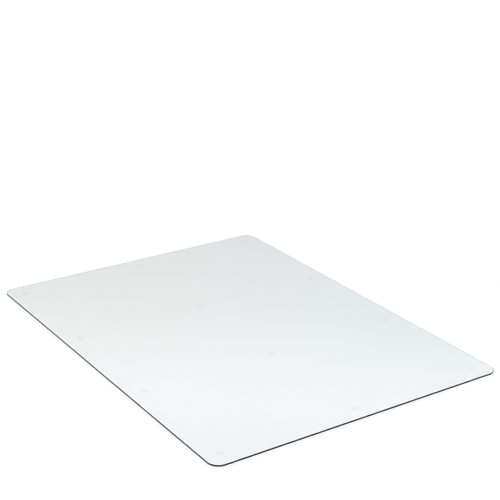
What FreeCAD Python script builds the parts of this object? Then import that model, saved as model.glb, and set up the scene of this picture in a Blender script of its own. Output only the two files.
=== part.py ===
import FreeCAD, Part
import Sketcher
import os

# Glass chair mat: a rectangular sheet of clear tempered glass with rounded
# corners and a flat polished edge, standing on twelve clear anti-slip pads.
#
# Frame: origin on the floor under the middle of the mat. +X runs along the
# long side, +Y along the short side from front to back, +Z is up. Millimetres.

os.makedirs("parts", exist_ok=True)
doc = FreeCAD.newDocument("glass_chair_mat")


# ------------------------------------------------------------ dimensions
dims = doc.addObject("Spreadsheet::Sheet", "dims")
DIMENSIONS = [
    # alias, value, what it is
    ("sheet_length", "1219.2", "glass sheet along X, 48 in"),
    ("sheet_width", "914.4", "glass sheet along Y, 36 in"),
    ("sheet_thickness", "5", "glass sheet thickness"),
    ("corner_radius", "32", "plan radius of the four corners"),
    ("arris_leg", "0.75", "leg of the 45 degree arris on both rims"),
    ("pad_diameter", "20", "anti-slip pad"),
    ("pad_thickness", "1.5", "anti-slip pad"),
    ("pad_rim_radius", "0.4", "rounding of the pad's lower rim"),
    ("adhesive_diameter", "18", "adhesive disc between pad and glass"),
    ("adhesive_thickness", "0.2", "adhesive disc between pad and glass"),
    ("pad_inset", "50", "edge of the glass to the middle of an outer pad"),
]
for row, (alias, value, note) in enumerate(DIMENSIONS, start=1):
    dims.set("A%d" % row, alias)
    dims.set("B%d" % row, value)
    dims.set("C%d" % row, note)
    dims.setAlias("B%d" % row, alias)
doc.recompute()


def origin_plane(body, role):
    return next(f for f in body.Origin.OriginFeatures if f.Role == role)


def flat_sketch(body, name):
    sketch = body.newObject("Sketcher::SketchObject", name)
    sketch.AttachmentSupport = [(origin_plane(body, "XY_Plane"), "")]
    sketch.MapMode = "FlatFace"
    return sketch


def point(x, y):
    return FreeCAD.Vector(x, y, 0)


# ----------------------------------------------------------- glass sheet
# One sheet of 5 mm glass. The blank is cut to size, its corners are ground
# round, and both rims get a narrow arris that runs all the way round.
glass = doc.addObject("PartDesign::Body", "glass_body")
glass.Label = "glass_sheet"

outline = flat_sketch(glass, "glass_outline")
length = dims.sheet_length
width = dims.sheet_width
corners = [
    point(-length / 2, -width / 2),
    point(length / 2, -width / 2),
    point(length / 2, width / 2),
    point(-length / 2, width / 2),
]
for i in range(4):
    outline.addGeometry(Part.LineSegment(corners[i], corners[(i + 1) % 4]), False)
for i in range(4):
    outline.addConstraint(Sketcher.Constraint("Coincident", i, 2, (i + 1) % 4, 1))
outline.addConstraint(Sketcher.Constraint("Horizontal", 0))
outline.addConstraint(Sketcher.Constraint("Vertical", 1))
outline.addConstraint(Sketcher.Constraint("Horizontal", 2))
outline.addConstraint(Sketcher.Constraint("Vertical", 3))
# centred on the origin
outline.addConstraint(Sketcher.Constraint("Symmetric", 0, 1, 1, 2, -1, 1))
row = outline.addConstraint(Sketcher.Constraint("DistanceX", 0, 1, 0, 2, length))
outline.renameConstraint(row, "sheet_length")
outline.setExpression("Constraints.sheet_length", "dims.sheet_length")
row = outline.addConstraint(Sketcher.Constraint("DistanceY", 1, 1, 1, 2, width))
outline.renameConstraint(row, "sheet_width")
outline.setExpression("Constraints.sheet_width", "dims.sheet_width")

blank = glass.newObject("PartDesign::Pad", "glass_blank")
blank.Profile = outline
blank.setExpression("Length", "dims.sheet_thickness")
doc.recompute()


def upright_edges(shape):
    names = []
    for i, edge in enumerate(shape.Edges, start=1):
        a, b = edge.Vertexes[0].Point, edge.Vertexes[-1].Point
        if abs(a.x - b.x) < 1e-6 and abs(a.y - b.y) < 1e-6 and abs(a.z - b.z) > 1e-6:
            names.append("Edge%d" % i)
    return names


def rim_edges(shape, heights):
    names = []
    for i, edge in enumerate(shape.Edges, start=1):
        box = edge.BoundBox
        if box.ZLength < 1e-6 and any(abs(box.ZMin - z) < 1e-6 for z in heights):
            names.append("Edge%d" % i)
    return names


rounded = glass.newObject("PartDesign::Fillet", "glass_corners")
rounded.Base = (blank, upright_edges(blank.Shape))
rounded.setExpression("Radius", "dims.corner_radius")
doc.recompute()

arris = glass.newObject("PartDesign::Chamfer", "glass_arrises")
arris.Base = (rounded, rim_edges(rounded.Shape, (0.0, dims.sheet_thickness)))
arris.setExpression("Size", "dims.arris_leg")
glass.Tip = arris
glass.setExpression(
    "Placement.Base.z", "dims.pad_thickness + dims.adhesive_thickness"
)
doc.recompute()


# --------------------------------------------- pads and adhesive discs
# Four pads along the length by three across the width, all at one pitch in
# each direction, the outer ones pad_inset from the edges of the glass.
COLUMNS = [("left", -3), ("centre_left", -1), ("centre_right", 1), ("right", 3)]
ROWS = [("front", -1), ("middle", 0), ("back", 1)]

pads = []
discs = []
for row_name, row_step in ROWS:
    for column_name, column_step in COLUMNS:
        place = "%s_%s" % (row_name, column_name)
        at_x = "(dims.sheet_length / 2 - dims.pad_inset) * (%d) / 3" % column_step
        at_y = "(dims.sheet_width / 2 - dims.pad_inset) * (%d)" % row_step

        # a moulded disc of clear silicone, flat on both faces, with its
        # lower rim rounded so that it doesn't catch and peel
        pad = doc.addObject("PartDesign::Body", "body_" + place)
        pad.Label = "pad_" + place
        circle = flat_sketch(pad, "circle_" + place)
        circle.addGeometry(
            Part.Circle(point(0, 0), FreeCAD.Vector(0, 0, 1), dims.pad_diameter / 2),
            False,
        )
        circle.addConstraint(Sketcher.Constraint("Coincident", 0, 3, -1, 1))
        row = circle.addConstraint(
            Sketcher.Constraint("Diameter", 0, dims.pad_diameter)
        )
        circle.renameConstraint(row, "pad_diameter")
        circle.setExpression("Constraints.pad_diameter", "dims.pad_diameter")
        disc_blank = pad.newObject("PartDesign::Pad", "disc_" + place)
        disc_blank.Profile = circle
        disc_blank.setExpression("Length", "dims.pad_thickness")
        doc.recompute()
        rim = pad.newObject("PartDesign::Fillet", "rim_" + place)
        rim.Base = (disc_blank, rim_edges(disc_blank.Shape, (0.0,)))
        rim.setExpression("Radius", "dims.pad_rim_radius")
        pad.Tip = rim
        pad.setExpression("Placement.Base.x", at_x)
        pad.setExpression("Placement.Base.y", at_y)
        pads.append(pad)

        # a thin disc of clear adhesive on top of the pad, a little smaller
        disc = doc.addObject("Part::Cylinder", "adhesive_" + place)
        disc.setExpression("Radius", "dims.adhesive_diameter / 2")
        disc.setExpression("Height", "dims.adhesive_thickness")
        disc.setExpression("Placement.Base.x", at_x)
        disc.setExpression("Placement.Base.y", at_y)
        disc.setExpression("Placement.Base.z", "dims.pad_thickness")
        discs.append(disc)

adhesive = doc.addObject("Part::Compound", "adhesive_group")
adhesive.Label = "pad_adhesive_discs"
adhesive.Links = discs

doc.recompute()


# ---------------------------------------------------------------- checks
for obj in doc.Objects:
    bad = [state for state in obj.State if state in ("Invalid", "Error")]
    if bad:
        raise RuntimeError("%s failed: %s" % (obj.Label, ", ".join(bad)))

nodes = [glass] + pads + [adhesive]
for node in nodes:
    if node.Shape.isNull() or not node.Shape.isValid():
        raise RuntimeError("%s has no valid shape" % node.Label)
    if not node.Shape.Solids:
        raise RuntimeError("%s holds no solid" % node.Label)

# The sheet's volume is its plan area times its thickness, less the arrises.
pi = 3.141592653589793
radius = dims.corner_radius
leg = dims.arris_leg
plan = length * width - (4 - pi) * radius**2
path = 2 * (length + width) - 8 * radius + 2 * pi * (radius - leg / 3)
expected = plan * dims.sheet_thickness - 2 * (leg**2 / 2) * path
if abs(glass.Shape.Volume - expected) > 1e-6 * expected:
    raise RuntimeError("the glass sheet's volume is off")

pad_cylinder = pi * (dims.pad_diameter / 2) ** 2 * dims.pad_thickness
for pad in pads:
    if not 0.97 * pad_cylinder < pad.Shape.Volume < pad_cylinder:
        raise RuntimeError("%s was not rounded" % pad.Label)
if len(adhesive.Shape.Solids) != len(pads):
    raise RuntimeError("an adhesive disc is missing")

# ---------------------------------------------------------------- export
for node in nodes:
    node.Shape.exportStep("parts/%s.step" % node.Label)
    box = node.Shape.BoundBox
    print(
        "%-26s %d solid(s)  x %8.2f %8.2f  y %8.2f %8.2f  z %5.2f %5.2f  %.1f mm3"
        % (
            node.Label,
            len(node.Shape.Solids),
            box.XMin,
            box.XMax,
            box.YMin,
            box.YMax,
            box.ZMin,
            box.ZMax,
            node.Shape.Volume,
        )
    )
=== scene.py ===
import math

import bpy
from mathutils import Matrix, Vector


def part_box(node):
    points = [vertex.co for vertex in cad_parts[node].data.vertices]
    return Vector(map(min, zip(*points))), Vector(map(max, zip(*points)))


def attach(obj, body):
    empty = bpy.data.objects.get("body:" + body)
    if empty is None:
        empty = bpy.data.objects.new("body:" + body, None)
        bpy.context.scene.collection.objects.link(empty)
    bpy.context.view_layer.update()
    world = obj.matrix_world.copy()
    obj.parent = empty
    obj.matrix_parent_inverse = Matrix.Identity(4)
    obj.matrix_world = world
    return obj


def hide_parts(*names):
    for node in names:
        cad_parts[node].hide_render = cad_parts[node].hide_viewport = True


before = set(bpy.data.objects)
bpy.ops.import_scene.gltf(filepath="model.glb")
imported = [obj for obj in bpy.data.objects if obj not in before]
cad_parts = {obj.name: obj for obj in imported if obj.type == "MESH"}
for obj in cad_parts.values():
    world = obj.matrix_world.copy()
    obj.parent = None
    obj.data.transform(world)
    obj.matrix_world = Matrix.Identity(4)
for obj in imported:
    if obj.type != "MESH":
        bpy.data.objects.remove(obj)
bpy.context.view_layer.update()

GLASS_LOW, GLASS_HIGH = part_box("glass_sheet")
HALF_L = GLASS_HIGH.x
HALF_W = GLASS_HIGH.y
TOP = GLASS_HIGH.z
UNDER = GLASS_LOW.z
MM = 0.001

CORNER = 32 * MM  # plan radius of the corners
ARRIS = 0.75 * MM  # leg of the arris on each rim
EASE = 0.12 * MM  # rounding left by the polishing belt where two ground faces meet

PADS = sorted(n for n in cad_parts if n.startswith("pad_") and n != "pad_adhesive_discs")


# ---------------------------------------------------------------- node help
def new_material(name):
    mat = bpy.data.materials.new(name)
    mat.use_nodes = True
    mat.node_tree.nodes.clear()
    return mat, mat.node_tree


def add(tree, kind, **sets):
    node = tree.nodes.new(kind)
    for key, value in sets.items():
        setattr(node, key, value)
    return node


def join(tree, source, target):
    tree.links.new(source, target)


def maths(tree, operation, a, b=None, c=None, clamp=False):
    node = add(tree, "ShaderNodeMath", operation=operation, use_clamp=clamp)
    for i, value in enumerate((a, b, c)):
        if value is None:
            continue
        if isinstance(value, (int, float)):
            node.inputs[i].default_value = value
        else:
            join(tree, value, node.inputs[i])
    return node.outputs[0]


def noise(tree, vector, scale, detail=2.0, rough=0.5, distortion=0.0):
    node = add(tree, "ShaderNodeTexNoise")
    node.inputs["Scale"].default_value = scale
    node.inputs["Detail"].default_value = detail
    node.inputs["Roughness"].default_value = rough
    node.inputs["Distortion"].default_value = distortion
    join(tree, vector, node.inputs["Vector"])
    return node.outputs[0]


def stretched(tree, vector, scale, turn=0.0):
    node = add(tree, "ShaderNodeMapping")
    node.inputs["Scale"].default_value = scale
    node.inputs["Rotation"].default_value = (0.0, 0.0, turn)
    join(tree, vector, node.inputs["Vector"])
    return node.outputs[0]


def remap(tree, value, low, high, to_low, to_high, smooth=False):
    node = add(tree, "ShaderNodeMapRange")
    node.interpolation_type = "SMOOTHSTEP" if smooth else "LINEAR"
    node.clamp = True
    join(tree, value, node.inputs["Value"])
    node.inputs["From Min"].default_value = low
    node.inputs["From Max"].default_value = high
    node.inputs["To Min"].default_value = to_low
    node.inputs["To Max"].default_value = to_high
    return node.outputs["Result"]


# ---------------------------------------------------------------- the glass
def rim_profile():
    """Points down the rim, as (inset from the outline, height, outward part of the normal, upward part)."""
    steps = 4
    knots = [
        (ARRIS, TOP, 90.0, 45.0),
        (0.0, TOP - ARRIS, 45.0, 0.0),
        (0.0, UNDER + ARRIS, 0.0, -45.0),
        (ARRIS, UNDER, -45.0, -90.0),
    ]
    points = []
    for inset, height, before, after in knots:
        # the rounding's centre lies inside, on the corner's bisector
        middle = math.radians((before + after) / 2)
        reach = EASE / math.cos(math.radians(22.5))
        centre_inset = inset + reach * math.cos(middle)
        centre_height = height - reach * math.sin(middle)
        for i in range(steps + 1):
            angle = math.radians(before + (after - before) * i / steps)
            points.append(
                (
                    centre_inset - EASE * math.cos(angle),
                    centre_height + EASE * math.sin(angle),
                    math.cos(angle),
                    math.sin(angle),
                )
            )
    return points


def spaced(low, high, count):
    return [low + (high - low) * i / count for i in range(count + 1)]


def build_glass():
    """The sheet as clean quads: one closed band round the rim, and on each face a grid whose corners are quarter discs."""
    profile = rim_profile()
    inset = profile[0][0]
    flat_x, flat_y = HALF_L - CORNER, HALF_W - CORNER
    along_x, along_y, turn, rings = 44, 32, 36, 3
    xs = spaced(-flat_x, flat_x, along_x)
    ys = spaced(-flat_y, flat_y, along_y)

    # the outline, anticlockwise from the front left: (centre, outward direction)
    outline = []
    for x in xs[:-1]:
        outline.append(((x, -flat_y), (0.0, -1.0)))
    quarter = lambda cx, cy, start: [
        ((cx, cy), (math.cos(a), math.sin(a)))
        for a in (start + math.pi / 2 * i / turn for i in range(turn))
    ]
    outline += quarter(flat_x, -flat_y, -math.pi / 2)
    for y in ys[:-1]:
        outline.append(((flat_x, y), (1.0, 0.0)))
    outline += quarter(flat_x, flat_y, 0.0)
    for x in reversed(xs[1:]):
        outline.append(((x, flat_y), (0.0, 1.0)))
    outline += quarter(-flat_x, flat_y, math.pi / 2)
    for y in reversed(ys[1:]):
        outline.append(((-flat_x, y), (-1.0, 0.0)))
    outline += quarter(-flat_x, -flat_y, math.pi)

    points, normals, faces = [], [], []
    rows = []
    for depth, height, out, up in profile:
        row = []
        for (cx, cy), (dx, dy) in outline:
            reach = CORNER - depth
            row.append(len(points))
            points.append((cx + dx * reach, cy + dy * reach, height))
            normals.append((dx * out, dy * out, up))
        rows.append(row)
    count = len(outline)
    for upper, lower in zip(rows, rows[1:]):
        for i in range(count):
            j = (i + 1) % count
            faces.append((upper[i], lower[i], lower[j], upper[j]))

    def cap(rim, height, up):
        """Fills a face inside the rim row: rings step in from the rim, then a grid covers the middle."""
        loops = [rim]
        for r in range(1, rings):
            share = 1 - r / rings
            loop = []
            for (cx, cy), (dx, dy) in outline:
                reach = (CORNER - inset) * share
                loop.append(len(points))
                points.append((cx + dx * reach, cy + dy * reach, height))
                normals.append((0.0, 0.0, up))
            loops.append(loop)
        grid = {}
        for a, x in enumerate(xs):
            for b, y in enumerate(ys):
                grid[a, b] = len(points)
                points.append((x, y, height))
                normals.append((0.0, 0.0, up))
        inner = []
        inner += [grid[a, 0] for a in range(along_x)]
        inner += [grid[along_x, 0]] * turn
        inner += [grid[along_x, b] for b in range(along_y)]
        inner += [grid[along_x, along_y]] * turn
        inner += [grid[a, along_y] for a in range(along_x, 0, -1)]
        inner += [grid[0, along_y]] * turn
        inner += [grid[0, b] for b in range(along_y, 0, -1)]
        inner += [grid[0, 0]] * turn
        loops.append(inner)
        made = []
        for outer, within in zip(loops, loops[1:]):
            for i in range(count):
                j = (i + 1) % count
                quad = [outer[i], outer[j], within[j], within[i]]
                if within[i] == within[j]:
                    quad = quad[:3]
                made.append(tuple(quad))
        for a in range(along_x):
            for b in range(along_y):
                made.append((grid[a, b], grid[a + 1, b], grid[a + 1, b + 1], grid[a, b + 1]))
        if up < 0:
            made = [tuple(reversed(f)) for f in made]
        faces.extend(made)

    cap(rows[0], TOP, 1.0)
    cap(rows[-1], UNDER, -1.0)

    mesh = bpy.data.meshes.new("tempered_glass_sheet")
    mesh.from_pydata(points, [], faces)
    mesh.validate()
    mesh.polygons.foreach_set("use_smooth", [True] * len(mesh.polygons))
    mesh.update()
    mesh.normals_split_custom_set_from_vertices(normals)
    glass = bpy.data.objects.new("tempered_glass_sheet", mesh)
    bpy.context.scene.collection.objects.link(glass)
    return glass


def glass_material():
    mat, tree = new_material("soda_lime_glass")
    coords = add(tree, "ShaderNodeTexCoord")
    place = coords.outputs["Object"]

    # how far a point is on the ground rim: 0 on the two float faces, 1 on the edge and arrises
    facing = add(tree, "ShaderNodeSeparateXYZ")
    join(tree, coords.outputs["Normal"], facing.inputs[0])
    upright = maths(tree, "ABSOLUTE", facing.outputs["Z"])
    rim = remap(tree, upright, 0.80, 0.97, 1.0, 0.0, smooth=True)

    # the float faces: clear, with a breath of handling film in broad patches
    film = noise(tree, place, 5.5, 4.0, 0.55, 0.6)
    film = remap(tree, film, 0.45, 0.72, 0.0, 1.0, smooth=True)
    wipe = noise(tree, stretched(tree, place, (3.0, 11.0, 1.0), 0.5), 2.0, 3.0, 0.55, 1.4)
    wipe = remap(tree, wipe, 0.52, 0.75, 0.0, 1.0, smooth=True)
    face_rough = maths(tree, "MULTIPLY_ADD", film, 0.010, 0.004)
    face_rough = maths(tree, "MULTIPLY_ADD", wipe, 0.005, face_rough)

    # the rim: polished, but with the belt's fine lines running along it
    belt = noise(tree, stretched(tree, place, (14.0, 14.0, 5200.0)), 1.0, 3.0, 0.65)
    rim_rough = remap(tree, belt, 0.3, 0.7, 0.035, 0.085)

    rough = add(tree, "ShaderNodeMix", data_type="FLOAT")
    join(tree, rim, rough.inputs[0])
    join(tree, face_rough, rough.inputs[2])
    join(tree, rim_rough, rough.inputs[3])

    # tempering's roller wave, about 0.28 m long and a few hundredths of a millimetre deep
    wave = add(tree, "ShaderNodeTexWave", wave_type="BANDS", bands_direction="X")
    wave.inputs["Scale"].default_value = 1.12
    wave.inputs["Distortion"].default_value = 0.8
    wave.inputs["Detail"].default_value = 1.0
    wave.inputs["Detail Scale"].default_value = 1.5
    join(tree, place, wave.inputs["Vector"])
    swell = add(tree, "ShaderNodeBump")
    swell.inputs["Strength"].default_value = 1.0
    swell.inputs["Distance"].default_value = 0.00003
    join(tree, wave.outputs["Fac"], swell.inputs["Height"])
    lines = add(tree, "ShaderNodeBump")
    lines.inputs["Distance"].default_value = 0.000002
    join(tree, rim, lines.inputs["Strength"])
    join(tree, belt, lines.inputs["Height"])
    join(tree, swell.outputs[0], lines.inputs["Normal"])

    glass = add(tree, "ShaderNodeBsdfPrincipled")
    glass.inputs["Base Color"].default_value = (1.0, 1.0, 1.0, 1.0)
    glass.inputs["IOR"].default_value = 1.52
    glass.inputs["Transmission Weight"].default_value = 1.0
    join(tree, rough.outputs[0], glass.inputs["Roughness"])
    join(tree, lines.outputs[0], glass.inputs["Normal"])

    tint = add(tree, "ShaderNodeVolumeAbsorption")
    tint.inputs["Color"].default_value = (0.18, 0.56, 0.56, 1.0)
    tint.inputs["Density"].default_value = 10.0

    out = add(tree, "ShaderNodeOutputMaterial")
    join(tree, glass.outputs[0], out.inputs["Surface"])
    join(tree, tint.outputs[0], out.inputs["Volume"])
    return mat


# ------------------------------------------------------------ pads, adhesive
def turned(name, profile, centres, materials, steps=72):
    """Closed discs turned from a profile of (radius, height, outward, upward), listed from the middle of the top
    face to the middle of the underside. A second material goes on the wall."""
    points, normals, faces, walls = [], [], [], []
    for cx, cy in centres:
        top = len(points)
        points.append((cx, cy, profile[0][1]))
        normals.append((0.0, 0.0, 1.0))
        rings = []
        for radius, height, out, up in profile[1:-1]:
            ring = []
            for i in range(steps):
                a = 2 * math.pi * i / steps
                ring.append(len(points))
                points.append((cx + radius * math.cos(a), cy + radius * math.sin(a), height))
                normals.append((out * math.cos(a), out * math.sin(a), up))
            rings.append(ring)
        bottom = len(points)
        points.append((cx, cy, profile[-1][1]))
        normals.append((0.0, 0.0, -1.0))
        for i in range(steps):
            j = (i + 1) % steps
            faces.append((top, rings[0][i], rings[0][j]))
            faces.append((bottom, rings[-1][j], rings[-1][i]))
            walls += [0, 0]
            for k, (upper, lower) in enumerate(zip(rings, rings[1:]), start=1):
                faces.append((upper[i], lower[i], lower[j], upper[j]))
                walls.append(int(abs(profile[k][3] + profile[k + 1][3]) < 1.4))
    mesh = bpy.data.meshes.new(name)
    mesh.from_pydata(points, [], faces)
    for material in materials:
        mesh.materials.append(material)
    if len(materials) > 1:
        mesh.polygons.foreach_set("material_index", walls)
    mesh.polygons.foreach_set("use_smooth", [True] * len(mesh.polygons))
    mesh.update()
    mesh.normals_split_custom_set_from_vertices(normals)
    obj = bpy.data.objects.new(name, mesh)
    bpy.context.scene.collection.objects.link(obj)
    return obj


def rounded_rim(radius, top, bottom, top_ease, bottom_ease, inner):
    """The profile of a disc with both rims rounded, with rings on its flat faces at the radii in inner."""
    profile = [(0.0, top, 0.0, 1.0)]
    profile += [(r, top, 0.0, 1.0) for r in inner]
    for i in range(7):
        a = math.radians(90 - 90 * i / 6)
        profile.append(
            (
                radius - top_ease + top_ease * math.cos(a),
                top - top_ease + top_ease * math.sin(a),
                math.cos(a),
                math.sin(a),
            )
        )
    for i in range(9):
        a = math.radians(-90 * i / 8)
        profile.append(
            (
                radius - bottom_ease + bottom_ease * math.cos(a),
                bottom + bottom_ease + bottom_ease * math.sin(a),
                math.cos(a),
                math.sin(a),
            )
        )
    profile += [(r, bottom, 0.0, -1.0) for r in reversed(inner)]
    profile.append((0.0, bottom, 0.0, -1.0))
    return profile


def silicone_material(name, alpha):
    """Clear silicone: little of it shows on the flat faces, which are stuck down, and more round the wall."""
    mat, tree = new_material(name)
    coords = add(tree, "ShaderNodeTexCoord")
    place = coords.outputs["Object"]
    cloud = noise(tree, place, 260.0, 3.0, 0.55)
    tone = add(tree, "ShaderNodeMix", data_type="RGBA")
    join(tree, remap(tree, cloud, 0.3, 0.7, 0.0, 1.0), tone.inputs[0])
    tone.inputs[6].default_value = (0.93, 0.95, 0.95, 1.0)
    tone.inputs[7].default_value = (0.99, 0.99, 0.98, 1.0)
    haze = noise(tree, place, 900.0, 3.0, 0.6)
    rough = remap(tree, haze, 0.3, 0.7, 0.12, 0.24)
    skin = noise(tree, place, 2500.0, 2.0, 0.5)
    bump = add(tree, "ShaderNodeBump")
    bump.inputs["Strength"].default_value = 0.4
    bump.inputs["Distance"].default_value = 0.00002
    join(tree, skin, bump.inputs["Height"])
    body = add(tree, "ShaderNodeBsdfPrincipled")
    join(tree, tone.outputs[2], body.inputs["Base Color"])
    body.inputs["IOR"].default_value = 1.41
    body.inputs["Transmission Weight"].default_value = 1.0
    body.inputs["Alpha"].default_value = alpha
    join(tree, rough, body.inputs["Roughness"])
    join(tree, bump.outputs[0], body.inputs["Normal"])
    out = add(tree, "ShaderNodeOutputMaterial")
    join(tree, body.outputs[0], out.inputs["Surface"])
    return mat


def adhesive_material():
    mat, tree = new_material("clear_adhesive")
    coords = add(tree, "ShaderNodeTexCoord")
    place = coords.outputs["Object"]
    wet = noise(tree, place, 700.0, 3.0, 0.6)
    rough = remap(tree, wet, 0.35, 0.7, 0.08, 0.22)
    tone = add(tree, "ShaderNodeMix", data_type="RGBA")
    join(tree, remap(tree, wet, 0.3, 0.7, 0.0, 1.0), tone.inputs[0])
    tone.inputs[6].default_value = (0.96, 0.96, 0.93, 1.0)
    tone.inputs[7].default_value = (0.99, 0.99, 0.98, 1.0)
    body = add(tree, "ShaderNodeBsdfPrincipled")
    join(tree, tone.outputs[2], body.inputs["Base Color"])
    body.inputs["IOR"].default_value = 1.47
    body.inputs["Transmission Weight"].default_value = 1.0
    body.inputs["Alpha"].default_value = 0.03
    join(tree, rough, body.inputs["Roughness"])
    out = add(tree, "ShaderNodeOutputMaterial")
    join(tree, body.outputs[0], out.inputs["Surface"])
    return mat


# ------------------------------------------------------------------ pieces
sheet = build_glass()
sheet.data.materials.append(glass_material())
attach(sheet, "root")
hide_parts("glass_sheet")

# The visual discs keep a hair's breadth off the faces they are stuck to.
HAIR = 0.01 * MM
silicone = [silicone_material("clear_silicone", 0.05), silicone_material("clear_silicone_wall", 0.18)]
middles = []
for name in PADS:
    low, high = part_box(name)
    radius = (high.x - low.x) / 2
    profile = rounded_rim(
        radius, high.z - HAIR, low.z, 0.08 * MM, 0.4 * MM, [radius * s for s in (0.3, 0.6, 0.85)]
    )
    middle = ((low.x + high.x) / 2, (low.y + high.y) / 2)
    middles.append(middle)
    pad = turned("clear_" + name, profile, [middle], silicone)
    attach(pad, "root")
    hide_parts(name)

low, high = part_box("pad_adhesive_discs")
disc_radius = high.x - max(m[0] for m in middles)
profile = rounded_rim(
    disc_radius, high.z - HAIR, low.z + HAIR, 0.04 * MM, 0.04 * MM, [disc_radius * s for s in (0.3, 0.6, 0.85)]
)
adhesive = turned("clear_adhesive_discs", profile, middles, [adhesive_material()], steps=64)
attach(adhesive, "root")
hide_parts("pad_adhesive_discs")


# ------------------------------------------------------------------- stage
def floor():
    reach = 60.0
    mesh = bpy.data.meshes.new("studio_floor")
    mesh.from_pydata(
        [(-reach, -reach, -0.0001), (reach, -reach, -0.0001), (reach, reach, -0.0001), (-reach, reach, -0.0001)],
        [],
        [(0, 1, 2, 3)],
    )
    obj = bpy.data.objects.new("studio_floor", mesh)
    bpy.context.scene.collection.objects.link(obj)
    mat, tree = new_material("studio_white")
    paint = add(tree, "ShaderNodeBsdfDiffuse")
    paint.inputs["Color"].default_value = (0.8, 0.8, 0.8, 1.0)
    out = add(tree, "ShaderNodeOutputMaterial")
    join(tree, paint.outputs[0], out.inputs["Surface"])
    mesh.materials.append(mat)


# The studio's light by height above the horizon, in degrees: a pale horizon that meets the floor, a dim band
# round the walls, a ring of bright panels and a dark ceiling over them. The two halves of the walls differ a
# little, as a room's two sides do: warm to the left of the view, cool to the right. A soft light high up on the
# camera's side adds to it.
SKY_PEAK = 2.2
LOWER = [
    (0.0, (1.04, 1.04, 1.04)),
    (0.8, (0.96, 0.96, 0.96)),
    (2.0, (0.74, 0.74, 0.74)),
    (4.0, (0.60, 0.60, 0.60)),
    (8.0, (0.47, 0.47, 0.47)),
    (13.0, (0.31, 0.31, 0.31)),
    (18.0, (0.21, 0.18, 0.17)),
]
LEFT = [
    (22.0, (0.205, 0.125, 0.100)),
    (23.0, (0.245, 0.160, 0.135)),
    (24.0, (0.310, 0.210, 0.185)),
    (25.0, (0.385, 0.290, 0.260)),
    (26.0, (0.430, 0.375, 0.340)),
    (27.0, (0.560, 0.490, 0.460)),
    (28.0, (0.670, 0.590, 0.590)),
    (29.0, (0.625, 0.590, 0.640)),
    (30.0, (0.500, 0.460, 0.520)),
    (31.0, (0.360, 0.330, 0.390)),
    (32.5, (0.340, 0.330, 0.350)),
]
RIGHT = [
    (22.0, (0.100, 0.130, 0.135)),
    (23.0, (0.110, 0.145, 0.150)),
    (24.0, (0.130, 0.175, 0.190)),
    (25.0, (0.180, 0.240, 0.250)),
    (26.0, (0.300, 0.340, 0.360)),
    (27.0, (0.460, 0.455, 0.495)),
    (28.0, (0.530, 0.505, 0.560)),
    (29.0, (0.590, 0.560, 0.620)),
    (30.0, (0.500, 0.470, 0.530)),
    (31.0, (0.360, 0.330, 0.390)),
    (32.5, (0.340, 0.330, 0.350)),
]
UPPER = [
    (36, (0.52, 0.52, 0.52)),
    (43, (1.15, 1.15, 1.15)),
    (51, (2.10, 2.10, 2.10)),
    (64, (2.10, 2.10, 2.10)),
    (71, (1.30, 1.30, 1.30)),
    (77, (0.50, 0.50, 0.50)),
    (83, (0.14, 0.14, 0.14)),
    (90, (0.08, 0.08, 0.08)),
]
KEY = 1.85  # strength of the soft light on the camera's side
VIEW_TURN = math.radians(55.947)
VIEW_SIDE = (math.cos(VIEW_TURN), math.sin(VIEW_TURN), 0.0)
KEY_RISE = math.radians(48)
KEY_SIDE = (math.sin(VIEW_TURN) * math.cos(KEY_RISE), -math.cos(VIEW_TURN) * math.cos(KEY_RISE), math.sin(KEY_RISE))


def sky_ramp(tree, rise, stops):
    ramp = add(tree, "ShaderNodeValToRGB")
    ramp.color_ramp.interpolation = "B_SPLINE"
    made = ramp.color_ramp.elements
    while len(made) > 1:
        made.remove(made[-1])
    for i, (height, level) in enumerate(stops):
        stop = made[0] if i == 0 else made.new(height / 90)
        stop.position = height / 90
        stop.color = tuple(c / SKY_PEAK for c in level) + (1.0,)
    join(tree, rise, ramp.inputs[0])
    return ramp.outputs[0]


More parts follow.
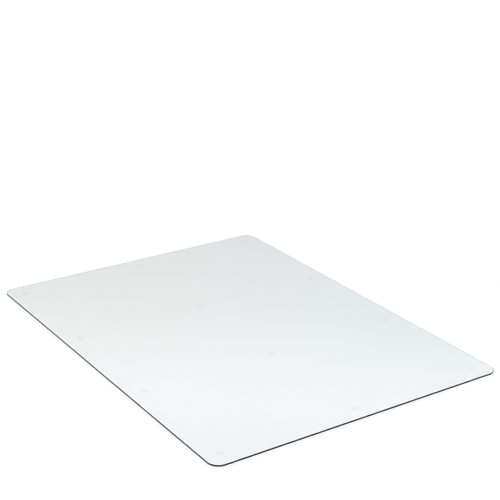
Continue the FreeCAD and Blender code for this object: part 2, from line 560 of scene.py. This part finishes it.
def studio():
    world = bpy.data.worlds.new("soft_studio")
    bpy.context.scene.world = world
    world.use_nodes = True
    tree = world.node_tree
    tree.nodes.clear()
    coords = add(tree, "ShaderNodeTexCoord")
    part = add(tree, "ShaderNodeSeparateXYZ")
    join(tree, coords.outputs["Generated"], part.inputs[0])
    rise = maths(tree, "ARCSINE", part.outputs["Z"])
    rise = maths(tree, "MULTIPLY", rise, 2 / math.pi, clamp=True)
    across = add(tree, "ShaderNodeVectorMath", operation="DOT_PRODUCT")
    join(tree, coords.outputs["Generated"], across.inputs[0])
    across.inputs[1].default_value = VIEW_SIDE
    half = remap(tree, across.outputs["Value"], -0.16, 0.16, 0.0, 1.0, smooth=True)
    both = add(tree, "ShaderNodeMix", data_type="RGBA")
    join(tree, half, both.inputs[0])
    join(tree, sky_ramp(tree, rise, LOWER + LEFT + UPPER), both.inputs[6])
    join(tree, sky_ramp(tree, rise, LOWER + RIGHT + UPPER), both.inputs[7])
    sky = add(tree, "ShaderNodeBackground")
    join(tree, both.outputs[2], sky.inputs["Color"])
    sky.inputs["Strength"].default_value = SKY_PEAK
    toward = add(tree, "ShaderNodeVectorMath", operation="DOT_PRODUCT")
    join(tree, coords.outputs["Generated"], toward.inputs[0])
    toward.inputs[1].default_value = KEY_SIDE
    key = add(tree, "ShaderNodeBackground")
    join(tree, remap(tree, toward.outputs["Value"], math.cos(math.radians(40)), 1.0, 0.0, KEY, smooth=True), key.inputs["Strength"])
    light = add(tree, "ShaderNodeAddShader")
    join(tree, sky.outputs[0], light.inputs[0])
    join(tree, key.outputs[0], light.inputs[1])
    out = add(tree, "ShaderNodeOutputWorld")
    join(tree, light.outputs[0], out.inputs["Surface"])


def camera():
    turn, lift, roll = VIEW_TURN, math.radians(21.839), math.radians(0.663)
    target = Vector((-0.48234, 0.37466, TOP + 0.00071))
    back = Vector(
        (math.sin(turn) * math.cos(lift), -math.cos(turn) * math.cos(lift), math.sin(lift))
    )
    right = Vector((math.cos(turn), math.sin(turn), 0.0))
    up = back.cross(right)
    across = right * math.cos(roll) + up * math.sin(roll)
    upward = -right * math.sin(roll) + up * math.cos(roll)
    lens = bpy.data.cameras.new("photo_camera")
    lens.sensor_width = 36.0
    lens.lens = 89.74
    lens.clip_start = 0.05
    lens.clip_end = 300.0
    cam = bpy.data.objects.new("photo_camera", lens)
    bpy.context.scene.collection.objects.link(cam)
    turned = Matrix((across, upward, back)).transposed().to_4x4()
    cam.matrix_world = Matrix.Translation(target + back * 4.1861) @ turned
    bpy.context.scene.camera = cam


floor()
studio()
camera()

scene = bpy.context.scene
scene.view_settings.view_transform = "Standard"
scene.view_settings.look = "None"
scene.cycles.max_bounces = 128
scene.cycles.transmission_bounces = 128
scene.cycles.transparent_max_bounces = 96
scene.cycles.glossy_bounces = 128
scene.cycles.diffuse_bounces = 12
# light that reaches the floor through the sheet isn't blurred, or the floor under it goes dark
scene.cycles.blur_glossy = 0.0
scene.cycles.filter_width = 1.1
